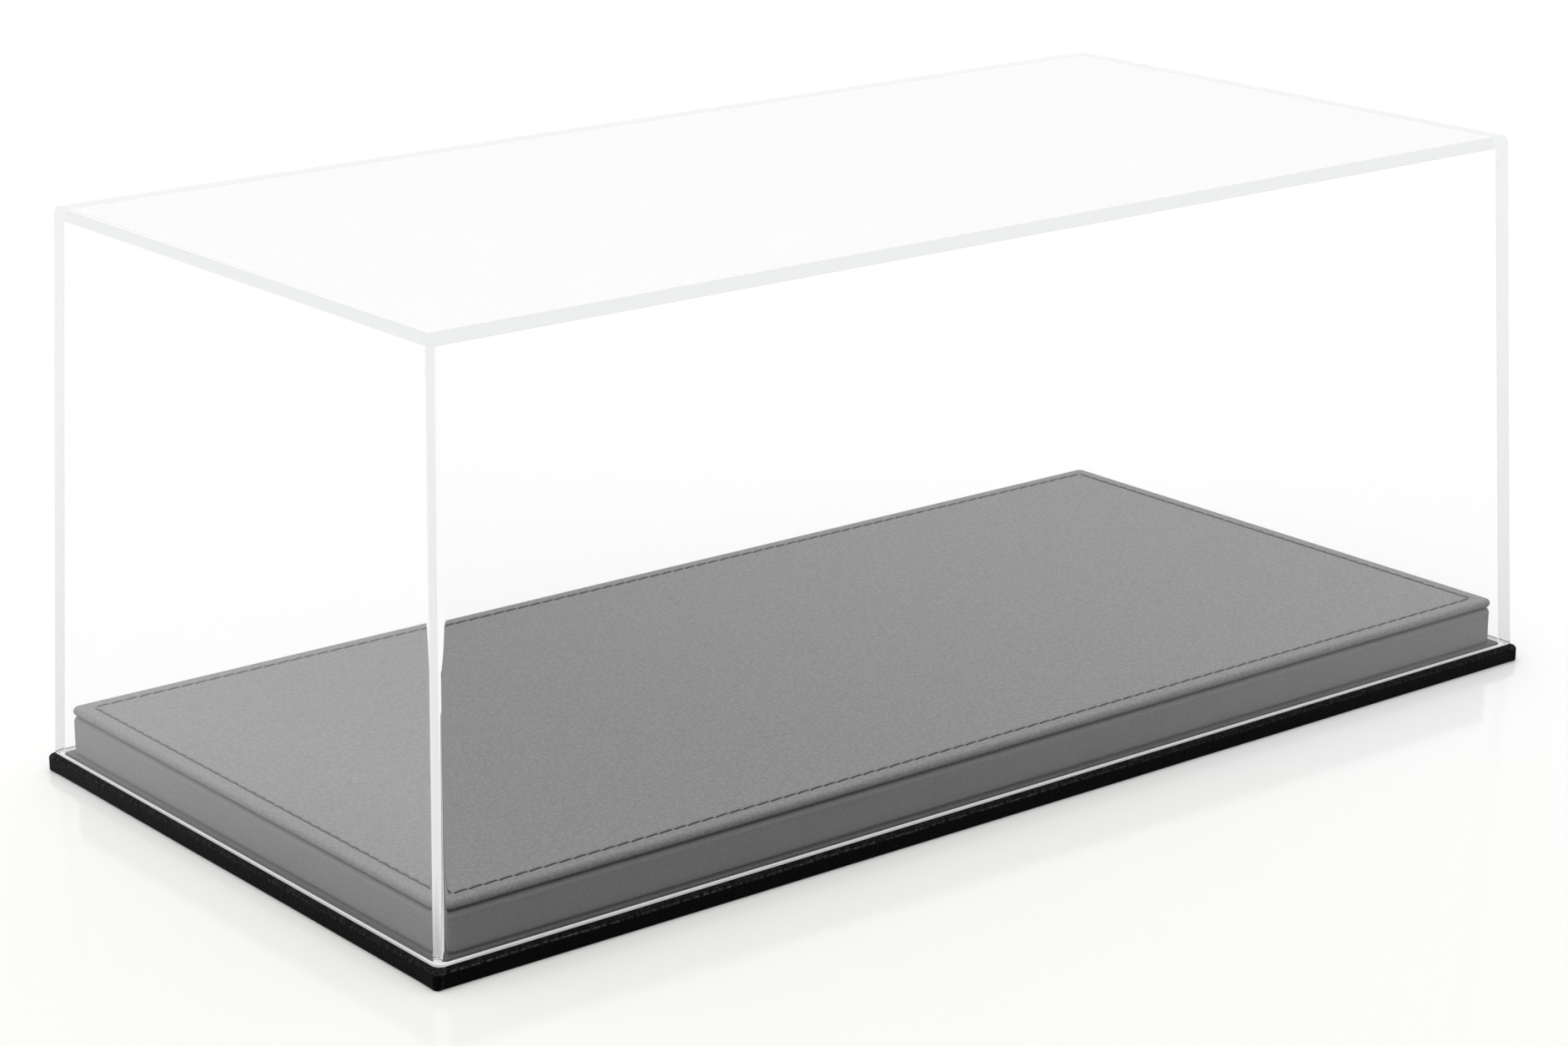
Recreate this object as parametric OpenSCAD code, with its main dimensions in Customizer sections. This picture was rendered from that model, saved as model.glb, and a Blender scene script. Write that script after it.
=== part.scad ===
// Acrylic display case for one collector's model.
// A clear moulded cover stands on a thin black base and drops over a low grey plinth with a stitched top panel.
// Millimetres. X runs along the long side, Y to the back, Z up from the surface that the case stands on.

/* [Base] */
// Length of the base, along the long side
base_length = 325; // [280:1:380]
// Width of the base, front to back
base_width = 162.8; // [130:0.1:200]
// Thickness of the fibreboard inside the base
base_board_t = 3.5; // [3:0.5:8]
// Thickness of the black covering, and of the lining that fills its underside
base_wrap_t = 0.5; // [0.4:0.05:0.8]
// Corner radius of the base, seen from above
base_corner_r = 1.6; // [1.6:0.1:4]
// Rounding of the upper edge of the base
base_edge_r = 1.5; // [0.6:0.1:1.5]
// Rounding of the lower edge of the base
base_foot_r = 0.5; // [0.2:0.1:0.6]
// Width of the black covering that is turned under the base
base_turn_in = 14; // [8:1:25]
// Gap between the turned-in covering and the lining
lining_gap = 0.4; // [0.2:0.1:1]

/* [Cover] */
// Distance from the edge of the base to the foot of the cover
cover_inset = 0.8; // [0.5:0.1:3]
// Height of the cover
cover_height = 129.5; // [80:0.5:180]
// Thickness of the cover's walls
cover_wall = 3.2; // [2:0.1:4.5]
// Thickness of the cover's roof
cover_roof = 3; // [2:0.1:4.5]
// How far each end wall has leaned in by the height of the roof
cover_end_lean = 5.5; // [1:0.5:7]
// How far the front and back walls have leaned in by the height of the roof
cover_side_lean = 4.5; // [1:0.5:7]
// Height of the upright land at the foot of the cover
cover_land = 1; // [0.5:0.1:3]
// Outer corner radius at the foot of the cover
cover_foot_r = 2; // [2:0.1:6]
// Outer corner radius at the roof of the cover, seen from above
cover_top_r = 2; // [2:0.1:5]
// Outer rounding of the roof's edges
cover_edge_r = 1.7; // [1:0.1:1.7]
// Rounding inside the cover's edges and corners
cover_inner_r = 0.8; // [0.2:0.1:2]

/* [Floor sheet] */
// Thickness of the grey sheet on the base
floor_sheet_t = 0.5; // [0.3:0.1:1]
// Gap between the grey sheet and the inside of the cover's foot
floor_sheet_gap = 0.2; // [0.2:0.1:1]

/* [Plinth] */
// Gap between the inside of the cover's foot and the side of the plinth
plinth_gap = 1.6; // [1.2:0.1:4]
// Thickness of the fibreboard inside the plinth
plinth_core_t = 8.7; // [7:0.1:16]
// Thickness of the side band's leatherette
band_t = 0.5; // [0.4:0.05:0.8]
// Corner radius of the plinth, seen from above
band_corner_r = 2; // [1.5:0.1:4]
// Rounding of the side band's upper edge
band_shoulder_r = 1; // [0.6:0.1:1.3]
// Width of the side band that is turned in over the plinth
band_turn_in = 12; // [8:1:25]

/* [Top panel] */
// Thickness of the stiff card inside the top panel
card_t = 1.1; // [0.5:0.1:2]
// Thickness of the top panel's leatherette
skin_t = 0.5; // [0.4:0.05:0.8]
// Corner radius of the top panel, seen from above
panel_corner_r = 1.8; // [1.5:0.1:4]
// Width of the leatherette that is turned under the top panel
skin_turn_in = 12; // [8:1:25]
// Gap round the card that fills the hollow under the top panel
packing_gap = 0.5; // [0.2:0.1:1]

/* [Stitching] */
// Distance from the edge of the top panel to the stitch line
stitch_margin = 4; // [3:0.5:20]
// Distance from one stitch to the next
stitch_pitch = 3.69; // [3:0.01:6]
// Length of one stitch
stitch_length = 3.1; // [2:0.1:5]
// Thickness of the thread
stitch_w = 0.5; // [0.3:0.05:0.8]
// Slant of each stitch against the stitch line, in degrees
stitch_slant = 5; // [0:1:10]
// Depth that the stitch line is drawn into the leatherette
stitch_depth = 0.2; // [0.1:0.05:0.3]
// Free room on each side of a stitch in the stitch line
stitch_room = 0.1; // [0.05:0.05:0.3]
// Corner radius of the stitch line
stitch_corner_r = 1.2; // [1:0.1:5]

/* [Screws] */
// Diameter of a screw's shank
screw_d = 3; // [2:0.1:4]
// Diameter of a screw's head
screw_head_d = 6; // [5:0.1:7]
// Overall length of a screw
screw_length = 10; // [8:0.5:11]
// Distance from the edge of the plinth to the screws
screw_edge = 24; // [18:1:40]
// Free room round a screw in the boards
screw_room = 0.05; // [0.02:0.01:0.2]
// Length of the cross slot in a screw's head
slot_length = 3.2; // [2:0.1:4]
// Width of the cross slot in a screw's head
slot_width = 0.7; // [0.5:0.1:1]
// Depth of the cross slot in a screw's head
slot_depth = 1; // [0.5:0.1:1.2]

/* [Hidden] */
$fn = 48;

// How far a cut runs past the face that it opens
cut_over = 1;

// Facets of a round corner of the moulded cover, and the steps of its rounded edges
cover_facets = 32;
edge_steps = 6;
thin_step = 0.01;

// A square edge stays inside a rounded covering only up to this many times the covering's thickness
edge_limit = 3;
base_edge = min(base_edge_r, edge_limit * base_wrap_t);
band_shoulder = min(band_shoulder_r, edge_limit * band_t);

// Heights of the layers, from the surface that the case stands on
base_height = base_board_t + 2 * base_wrap_t;
core_z = base_height + floor_sheet_t;
band_height = plinth_core_t + band_t;
panel_z = core_z + band_height;
panel_t = card_t + 2 * skin_t;
card_z = panel_z + skin_t;
groove_z = panel_z + panel_t - stitch_depth;

// Outlines, seen from above: length, width
cover_foot = [base_length - 2 * cover_inset, base_width - 2 * cover_inset];
cover_inside = cover_foot - 2 * [cover_wall, cover_wall];
floor_sheet_size = cover_inside - 2 * [floor_sheet_gap, floor_sheet_gap];
plinth_size = cover_inside - 2 * [plinth_gap, plinth_gap];
core_size = plinth_size - 2 * [band_t, band_t];
board_size = [base_length - 2 * base_wrap_t, base_width - 2 * base_wrap_t];
base_opening = [base_length - 2 * base_turn_in, base_width - 2 * base_turn_in];
lining_size = base_opening - 2 * [lining_gap, lining_gap];
card_size = plinth_size - 2 * [skin_t, skin_t];
band_opening = plinth_size - 2 * [band_turn_in, band_turn_in];
skin_opening = plinth_size - 2 * [skin_turn_in, skin_turn_in];
packing_turn_in = max(band_turn_in, skin_turn_in) + packing_gap;
packing_size = plinth_size - 2 * [packing_turn_in, packing_turn_in];

// The stitch line, its groove and the stitches that fit each straight side
stitch_line = plinth_size - 2 * [stitch_margin, stitch_margin];
groove_w = stitch_w + stitch_length * sin(stitch_slant) + 2 * stitch_room;
stitch_run = [for (side = stitch_line) side - 2 * stitch_corner_r];
stitch_count = [for (run = stitch_run) floor(run / stitch_pitch)];

// Screws stand in two rows of three
screw_x = plinth_size.x / 2 - screw_edge;
screw_y = plinth_size.y / 2 - screw_edge;
screw_places = [for (x = [-screw_x, 0, screw_x], y = [-screw_y, screw_y]) [x, y]];
screw_head_h = (screw_head_d - screw_d) / 2;

// Flat rectangle with round corners, size = [length, width]
module rounded_rect(size, r) {
    square([size.x - 2 * r, size.y], center = true);
    square([size.x, size.y - 2 * r], center = true);
    for (x = [-1, 1], y = [-1, 1])
        translate([x * (size.x / 2 - r), y * (size.y / 2 - r)]) circle(r);
}

// Sheet or board with square edges and round corners
module sheet(size, r, thickness) {
    linear_extrude(thickness) rounded_rect(size, r);
}

// Quarter of a disc in the first quadrant
module quarter_disc(r) {
    intersection() {
        circle(r);
        square(r);
    }
}

// Section through a slab's edge: upper edge rounded by r, lower edge by foot_r, which is no larger than r
module edge_section(depth, height, r, foot_r) {
    flat = height - r - foot_r;
    square([depth - r, height]);
    if (flat > 0) translate([depth - r, foot_r]) square([r, flat]);
    translate([depth - r, height - r]) quarter_disc(r);
    if (foot_r > 0) translate([depth - foot_r, foot_r]) mirror([0, 1]) quarter_disc(foot_r);
    if (foot_r > 0 && foot_r < r) translate([depth - r, 0]) square([r - foot_r, foot_r]);
}

// Slab whose edge follows a section all round: straight along the sides and turned about the corners
module slab(size, corner_r, height, edge_r, foot_r) {
    reach = [size.x / 2 - corner_r, size.y / 2 - corner_r];
    translate([-reach.x, -reach.y, 0]) cube([2 * reach.x, 2 * reach.y, height]);
    for (turn = [0, 180]) rotate(turn) {
        translate([-reach.x, reach.y, 0]) rotate([90, 0, 90]) linear_extrude(2 * reach.x)
            edge_section(corner_r, height, edge_r, foot_r);
        translate([reach.x, reach.y, 0]) rotate([90, 0, 0]) linear_extrude(2 * reach.y)
            edge_section(corner_r, height, edge_r, foot_r);
        translate([reach.x, reach.y, 0]) rotate_extrude(angle = 90)
            edge_section(corner_r, height, edge_r, foot_r);
        translate([-reach.x, reach.y, 0]) rotate(90) rotate_extrude(angle = 90)
            edge_section(corner_r, height, edge_r, foot_r);
    }
}

// Round disc of a cover's upper corner, whose upper edge is rounded in steps
module corner_disc(r, edge_r) {
    for (step = [0:edge_steps]) {
        angle = 90 * step / edge_steps;
        cylinder(r = r - edge_r * (1 - cos(angle)), h = edge_r * sin(angle) + thin_step, $fn = cover_facets);
    }
}

// Form of the cover, outside or inside: an upright foot with round corners, and round-edged upper corners
module cover_form(foot, foot_r, land, top, top_r, edge_r, height) {
    hull() for (x = [-1, 1], y = [-1, 1]) {
        translate([x * (foot.x / 2 - foot_r), y * (foot.y / 2 - foot_r), 0])
            cylinder(r = foot_r, h = land, $fn = cover_facets);
        translate([x * (top.x / 2 - top_r), y * (top.y / 2 - top_r), height - edge_r - thin_step])
            corner_disc(top_r, edge_r);
    }
}

// Clear moulded cover, open below
module clear_cover() {
    lean = 2 * [cover_end_lean, cover_side_lean];
    color([0.86, 0.9, 0.92, 0.35]) translate([0, 0, base_height]) difference() {
        cover_form(
            cover_foot, cover_foot_r, cover_land,
            cover_foot - lean, cover_top_r, cover_edge_r, cover_height
        );
        translate([0, 0, -cut_over]) cover_form(
            cover_inside, cover_inner_r, cover_land + cut_over,
            cover_inside - lean, cover_inner_r, cover_inner_r / 2, cover_height - cover_roof + cut_over
        );
    }
}

// Black covering of the base, folded over its edges and turned under
module base_wrap() {
    color([0.07, 0.07, 0.075]) difference() {
        slab([base_length, base_width], base_corner_r, base_height, base_edge, base_foot_r);
        translate([0, 0, base_wrap_t]) sheet(board_size, base_corner_r - base_wrap_t, base_board_t);
        translate([0, 0, -cut_over]) sheet(base_opening, base_corner_r, base_wrap_t + 2 * cut_over);
        screw_shanks(screw_room);
    }
}

// Fibreboard inside the base, countersunk below for the screws
module base_board() {
    color([0.62, 0.49, 0.35]) difference() {
        translate([0, 0, base_wrap_t]) sheet(board_size, base_corner_r - base_wrap_t, base_board_t);
        screw_shanks(screw_room);
        screw_heads(screw_room);
    }
}

// Lining under the base, between the turned-in edges
module base_lining() {
    color([0.1, 0.1, 0.1]) sheet(lining_size, base_corner_r, base_wrap_t);
}

// Grey sheet on the base, under the plinth and out to the cover
module floor_sheet() {
    color([0.5, 0.5, 0.51]) difference() {
        translate([0, 0, base_height]) sheet(floor_sheet_size, band_corner_r, floor_sheet_t);
        screw_shanks(screw_room);
    }
}

// Fibreboard block inside the plinth, with pilot holes for the screws
module plinth_core() {
    color([0.66, 0.53, 0.39]) difference() {
        translate([0, 0, core_z]) sheet(core_size, band_corner_r - band_t, plinth_core_t);
        screw_shanks(screw_room);
    }
}

// Grey covering round the plinth's sides, rounded over and turned in at the top
module side_band() {
    color([0.47, 0.47, 0.48]) translate([0, 0, core_z]) difference() {
        slab(plinth_size, band_corner_r, band_height, band_shoulder, 0);
        translate([0, 0, -cut_over]) sheet(core_size, band_corner_r - band_t, plinth_core_t + cut_over);
        translate([0, 0, plinth_core_t - cut_over]) sheet(band_opening, band_corner_r, band_t + 2 * cut_over);
    }
}

// Card that fills the hollow between the turned-in edges
module packing_card() {
    color([0.72, 0.66, 0.55]) translate([0, 0, core_z + plinth_core_t])
        sheet(packing_size, band_corner_r, band_t + skin_t);
}

// Stiff card inside the top panel
module top_card() {
    color([0.75, 0.69, 0.58]) translate([0, 0, card_z]) sheet(card_size, panel_corner_r - skin_t, card_t);
}

// Flat ring under the stitches
module stitch_groove() {
    difference() {
        rounded_rect(stitch_line + [groove_w, groove_w], stitch_corner_r + groove_w / 2);
        rounded_rect(stitch_line - [groove_w, groove_w], stitch_corner_r - groove_w / 2);
    }
}

// Grey covering of the top panel, round at its nose and turned under, with the stitch line drawn into it
module top_skin() {
    color([0.58, 0.58, 0.59]) difference() {
        translate([0, 0, panel_z]) slab(plinth_size, panel_corner_r, panel_t, panel_t / 2, panel_t / 2);
        translate([0, 0, card_z]) sheet(card_size, panel_corner_r - skin_t, card_t);
        translate([0, 0, panel_z - cut_over]) sheet(skin_opening, panel_corner_r, skin_t + card_t / 2 + cut_over);
        translate([0, 0, groove_z]) linear_extrude(stitch_depth + cut_over) stitch_groove();
    }
}

// One stitch: a short thread with a flat underside, lying along X
module stitch() {
    rotate(stitch_slant) translate([-stitch_length / 2, 0, 0]) rotate([90, 0, 90]) linear_extrude(stitch_length)
        intersection() {
            circle(d = stitch_w);
            translate([-stitch_w / 2, 0]) square([stitch_w, stitch_w]);
        }
}

// One side's row of stitches along X, at a distance from the middle
module stitch_row(count, distance) {
    for (i = [0:count - 1]) translate([(i - (count - 1) / 2) * stitch_pitch, distance, groove_z]) stitch();
}

// Dark grey thread of the running stitch
module stitching() {
    color([0.27, 0.27, 0.28]) for (turn = [0, 180]) {
        rotate(turn) stitch_row(stitch_count.x, stitch_line.y / 2);
        rotate(turn + 90) stitch_row(stitch_count.y, stitch_line.x / 2);
    }
}

// Shanks of all the screws, made wider by the room that their holes have
module screw_shanks(room) {
    for (place = screw_places) translate([place.x, place.y, base_wrap_t])
        cylinder(d = screw_d + 2 * room, h = screw_length + room);
}

// Countersunk heads of all the screws, made wider by the room that they have
module screw_heads(room) {
    for (place = screw_places) translate([place.x, place.y, base_wrap_t])
        cylinder(d1 = screw_head_d + 2 * room, d2 = screw_d + 2 * room, h = screw_head_h);
}

// Cross slots in the heads of all the screws
module screw_slots() {
    for (place = screw_places, turn = [0, 90])
        translate([place.x, place.y, base_wrap_t + (slot_depth - cut_over) / 2]) rotate(turn)
            cube([slot_length, slot_width, slot_depth + cut_over], center = true);
}

// Wood screws from the underside of the base into the plinth
module plinth_screws() {
    color([0.72, 0.7, 0.62]) difference() {
        union() {
            screw_shanks(0);
            screw_heads(0);
        }
        screw_slots();
    }
}

clear_cover();
base_wrap();
base_board();
base_lining();
floor_sheet();
plinth_core();
side_band();
packing_card();
top_card();
top_skin();
stitching();
plinth_screws();
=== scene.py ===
"""Looks of a clear display case: a moulded acrylic cover over a stitched grey plinth on a thin black base.

Sizes in the classes are in millimetres, as a maker reads them. Every mesh is put down in metres, in the frame
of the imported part: X along the case, Y from its front to its back, Z up from the surface that it stands on.
"""

import logging
import math
from dataclasses import dataclass
from enum import Enum
from functools import reduce

import bmesh
import bpy
import numpy as np
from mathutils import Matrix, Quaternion, Vector

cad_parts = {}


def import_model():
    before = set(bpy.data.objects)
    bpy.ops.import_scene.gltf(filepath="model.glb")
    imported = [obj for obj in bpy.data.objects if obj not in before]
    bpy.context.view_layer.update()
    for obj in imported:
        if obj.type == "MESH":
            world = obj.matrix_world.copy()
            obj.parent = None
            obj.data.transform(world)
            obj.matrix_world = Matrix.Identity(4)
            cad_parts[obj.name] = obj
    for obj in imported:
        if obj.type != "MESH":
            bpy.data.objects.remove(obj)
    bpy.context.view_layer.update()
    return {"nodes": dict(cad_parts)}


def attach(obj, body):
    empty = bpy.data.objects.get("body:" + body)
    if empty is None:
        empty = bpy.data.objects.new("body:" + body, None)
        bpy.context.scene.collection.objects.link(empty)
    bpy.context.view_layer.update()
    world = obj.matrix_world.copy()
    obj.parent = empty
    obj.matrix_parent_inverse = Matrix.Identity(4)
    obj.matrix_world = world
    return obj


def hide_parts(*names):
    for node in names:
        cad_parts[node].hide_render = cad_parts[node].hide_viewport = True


MM = 0.001
WELD = 4e-7
# Attribute of painted highlight: a line down the base's upper edge and one on each pleat.
PAINTED_HIGHLIGHT = "painted_highlight"
# Attribute of painted shade: under the panel's nose, at the top and foot of the band, and across the cover's
# foot.
PAINTED_SHADE = "painted_shade"
OUTSIDE = "outside"
Pair = tuple[float, float]
Triple = tuple[float, float, float]
Colour = Triple
Material = bpy.types.Material
Node = bpy.types.Node
Socket = bpy.types.NodeSocket
WHITE: Colour = (1.0, 1.0, 1.0)
QUARTER = 0.5 * np.pi
log = logging.getLogger("display_case")


class Body(Enum):
    """The two bodies of the case: what stands still, and what lifts off."""

    BASE = "base"
    COVER = "cover"


class Slot(Enum):
    """Names of the record's material slots."""

    ACRYLIC = "clear_acrylic"
    BLACK = "black_leatherette"
    GREY = "grey_leatherette"
    FELT = "lining_felt"
    THREAD = "dark_thread"


class Spread(Enum):
    """How the points of a straight side are shared out between two corners."""

    EVEN = "even"
    PACKED = "packed"


# Shader maths


class Signal:
    """One number that varies over a surface: a value socket with Python's operators."""

    def __init__(self, tree: "ShaderTree", socket: Socket) -> None:
        """Keeps the socket, and the tree that new Math nodes go into."""
        self.tree = tree
        self.socket = socket

    def maths(self, operation: str, *operands: "Signal | float") -> "Signal":
        """The result of a new Math node that takes the operands in order."""
        made = self.tree.node("ShaderNodeMath", {"operation": operation}, dict(enumerate(operands)))
        return self.tree.signal(made)

    def __add__(self, other: "Signal | float") -> "Signal":
        """self + other."""
        return self.maths("ADD", self, other)

    def __radd__(self, other: float) -> "Signal":
        """other + self."""
        return self.maths("ADD", other, self)

    def __sub__(self, other: "Signal | float") -> "Signal":
        """self - other."""
        return self.maths("SUBTRACT", self, other)

    def __rsub__(self, other: float) -> "Signal":
        """other - self."""
        return self.maths("SUBTRACT", other, self)

    def __mul__(self, other: "Signal | float") -> "Signal":
        """self * other."""
        return self.maths("MULTIPLY", self, other)

    def __rmul__(self, other: float) -> "Signal":
        """other * self."""
        return self.maths("MULTIPLY", other, self)

    def at_least(self, other: "Signal | float") -> "Signal":
        """The greater of self and other."""
        return self.maths("MAXIMUM", self, other)

    def ramp(self, low: float, high: float) -> "Signal":
        """Self brought from the range low to high to the range 0 to 1, with soft ends."""
        soft, ends = {"interpolation_type": "SMOOTHSTEP"}, {"Value": self, "From Min": low, "From Max": high}
        return self.tree.signal(self.tree.node("ShaderNodeMapRange", soft, ends))


class ShaderTree:
    """The nodes of one material or world."""

    def __init__(self, owner: Material | bpy.types.World) -> None:
        """Empties the owner's nodes and adds its output.

        Args:
            owner: what the nodes belong to.
        """
        owner.use_nodes = True
        self.owner = owner
        self.nodes, self.links = owner.node_tree.nodes, owner.node_tree.links
        self.nodes.clear()
        kind = "World" if isinstance(owner, bpy.types.World) else "Material"
        self.output = self.nodes.new(f"ShaderNodeOutput{kind}")

    def node(self, kind: str, settings: dict[str, object] | None = None, sockets: dict | None = None) -> Node:
        """Adds any node.

        Args:
            kind: the node's type.
            settings: its properties, which are set first.
            sockets: values or links of its inputs, by name or number.

        Returns:
            The new node.
        """
        made = self.nodes.new(kind)
        for name, value in (settings or {}).items():
            setattr(made, name, value)
        for key, value in (sockets or {}).items():
            value = value.socket if isinstance(value, Signal) else value
            if isinstance(value, Socket):
                self.links.new(value, made.inputs[key])
            else:
                made.inputs[key].default_value = value
        return made

    def signal(self, node: Node, output: str | int = 0) -> Signal:
        """One output of a node as a Signal."""
        return Signal(self, node.outputs[output])

    def mark(self, name: str) -> Signal:
        """What each point of a mesh carries under an attribute's name."""
        return self.signal(self.node("ShaderNodeAttribute", {"attribute_name": name}), "Fac")

    def path(self, *names: str) -> list[Signal]:
        """What is known of a ray's path, by the names of the Light Path node's outputs."""
        node = self.node("ShaderNodeLightPath")
        return [self.signal(node, name) for name in names]

    def axes(self, at: Socket) -> list[Signal]:
        """The X, Y and Z of a vector."""
        node = self.node("ShaderNodeSeparateXYZ", None, {0: at})
        return [self.signal(node, name) for name in "XYZ"]

    def places(self, scale: Triple = (1.0, 1.0, 1.0), turn: Triple = (0.0, 0.0, 0.0)) -> Socket:
        """Object coordinates, scaled along X, Y and Z and turned about them by angles in radians."""
        at = self.node("ShaderNodeTexCoord").outputs["Object"]
        sockets = {"Vector": at, "Scale": scale, "Rotation": turn}
        return self.node("ShaderNodeMapping", None, sockets).outputs[0]

    def noise(self, at: Socket, scale: float, detail: float = 2.0, rough: float = 0.5) -> Signal:
        """Noise from 0 to 1, with scale grains in a unit of length and a share rough kept by each octave."""
        sockets = {"Vector": at, "Scale": scale, "Detail": detail, "Roughness": rough}
        return self.signal(self.node("ShaderNodeTexNoise", None, sockets))

    def streaks(
        self, scale: Triple, turn: Triple = (0.0, 0.0, 0.0), detail: float = 3.0, rough: float = 0.6
    ) -> Signal:
        """Noise with its own number of grains in a metre along X, Y and Z."""
        return self.noise(self.places(scale, turn), 1.0, detail, rough)

    def vectors(self, operation: str, sockets: dict) -> Socket:
        """The result of a new Vector Math node."""
        return self.node("ShaderNodeVectorMath", {"operation": operation}, sockets).outputs[0]

    def warped(self, at: Socket, scale: float, amount: float) -> Socket:
        """Coordinates pushed about by noise.

        Args:
            at: the coordinates.
            scale: the noise's scale.
            amount: the largest push, in the coordinates' own length.

        Returns:
            The vector socket.
        """
        push = self.node("ShaderNodeTexNoise", None, {"Vector": at, "Scale": scale, "Detail": 1.0}).outputs[1]
        middle = self.vectors("SUBTRACT", {0: push, 1: (0.5, 0.5, 0.5)})
        return self.vectors("ADD", {0: at, 1: self.vectors("SCALE", {0: middle, "Scale": 2.0 * amount})})

    def pebbles(self, at: Socket, scale: float) -> Signal:
        """Distance to the creases between random cells: 0 on a crease, about half a cell in its middle."""
        edges, sockets = {"feature": "DISTANCE_TO_EDGE"}, {"Vector": at, "Scale": scale}
        return self.signal(self.node("ShaderNodeTexVoronoi", edges, sockets), "Distance")

    def tint(self, share: Signal, low: Colour | Socket, high: Colour | Socket) -> Socket:
        """A colour that goes from low to high with a share."""
        one, two = ((*end, 1.0) if isinstance(end, tuple) else end for end in (low, high))
        return self.node("ShaderNodeMix", {"data_type": "RGBA"}, {0: share, 6: one, 7: two}).outputs[2]

    def tones(self, share: Signal, colour: Colour, dark: float, light: float) -> Socket:
        """A colour that goes from a darker to a lighter tone with a share; both are factors on it."""
        return self.tint(share, shade(colour, dark), shade(colour, light))

    def bump(self, height: Signal, relief: float) -> Socket:
        """A normal from a height from 0 to 1, where 1 stands for the relief in mm."""
        sockets = {"Strength": 1.0, "Distance": relief * MM, "Height": height}
        return self.node("ShaderNodeBump", None, sockets).outputs[0]

    def principled(self, **sockets: object) -> Node:
        """A Principled shader, with sockets named with _ for each space."""
        spaced = {name.replace("_", " "): value for name, value in sockets.items()}
        return self.node("ShaderNodeBsdfPrincipled", None, spaced)

    def mixed(self, share: Signal, one: Node, two: Node) -> Node:
        """A shader that goes from one to two with a share."""
        return self.node("ShaderNodeMixShader", None, {0: share, 1: one.outputs[0], 2: two.outputs[0]})

    def show(self, shader: Node, socket: str = "Surface") -> Material | bpy.types.World:
        """Puts a shader on the output, and gives back what the nodes belong to."""
        self.links.new(shader.outputs[0], self.output.inputs[socket])
        return self.owner


# Finishes


def shade(colour: Colour, factor: float) -> Colour:
    """A colour made lighter or darker by a factor."""
    return tuple(c * factor for c in colour)


@dataclass(frozen=True)
class Leatherette:
    """Embossed leatherette: small pebbles parted by fine creases, with a satin shine."""

    name: str
    colour: Colour  # on the pebbles
    roughness: float  # its mean
    pebble: float  # width of a pebble
    relief: float  # depth of the creases
    contrast: float  # share by which the tone spreads: painted shade in the creases, and random pores and patches
    shine: float  # strength of its reflections
    wrinkle: float = 0.0  # height of upright wrinkles on the sides
    crease: float = 0.2  # width of a crease, in pebbles
    warp: float = 0.6  # pushes for each pebble, which make it uneven
    pores: float = 2.4  # pores for each pebble
    patches: float = 22.0  # patches of tone in a metre
    wrinkles: Triple = (900.0, 900.0, 130.0)  # in a metre along X, Y and Z
    glint_grains: float = 800.0  # breaks in the painted highlight, in a metre
    glint_ramp: Pair = (0.4, 0.68)  # noise where the painted highlight begins to show, and is full
    glint_lift: float = 0.13  # how much lighter the painted highlight is
    shade_keep: float = 0.12  # share of the colour that painted shade leaves

    def material(self) -> Material:
        """Makes the material: its height is a rounded step of the distance to the creases, plus noise.

        Returns:
            The material.
        """
        tree = ShaderTree(bpy.data.materials.new(self.name))
        at = tree.places()
        cells = 1.0 / (self.pebble * MM)
        pushed = tree.warped(at, cells * self.warp, 0.5 * self.pebble * MM)
        pebble = tree.pebbles(pushed, cells).ramp(0.0, self.crease)
        pores = tree.noise(at, cells * self.pores, 3.0, 0.6)
        drift = tree.noise(at, self.patches, 3.0, 0.55)
        height = pebble * 0.6 + pores * 0.4 + tree.streaks(self.wrinkles) * (self.wrinkle / self.relief)
        # The tone is darker in the creases as painted shade, and varies with pores and patches.
        tone = pebble * 0.45 + pores * 0.3 + drift * 0.25
        plain = tree.tones(tone, self.colour, 1.0 - self.contrast, 1.0 + 0.6 * self.contrast)
        # Painted highlight where a mesh carries it, broken by noise.
        glinting = tree.mark(PAINTED_HIGHLIGHT) * tree.noise(at, self.glint_grains, 4.0, 0.75).ramp(*self.glint_ramp)
        glinted = tree.tint(glinting, plain, tuple(c + self.glint_lift for c in self.colour))
        # Painted shade darkens the colour where a mesh carries it.
        return tree.show(
            tree.principled(
                Base_Color=tree.tint(tree.mark(PAINTED_SHADE), glinted, shade(self.colour, self.shade_keep)),
                Roughness=self.roughness + (pores - 0.5) * 0.16 + (drift - 0.5) * 0.1 - (pebble - 0.5) * 0.06,
                Specular_IOR_Level=self.shine,
                Normal=tree.bump(height, self.relief),
            )
        )


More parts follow.
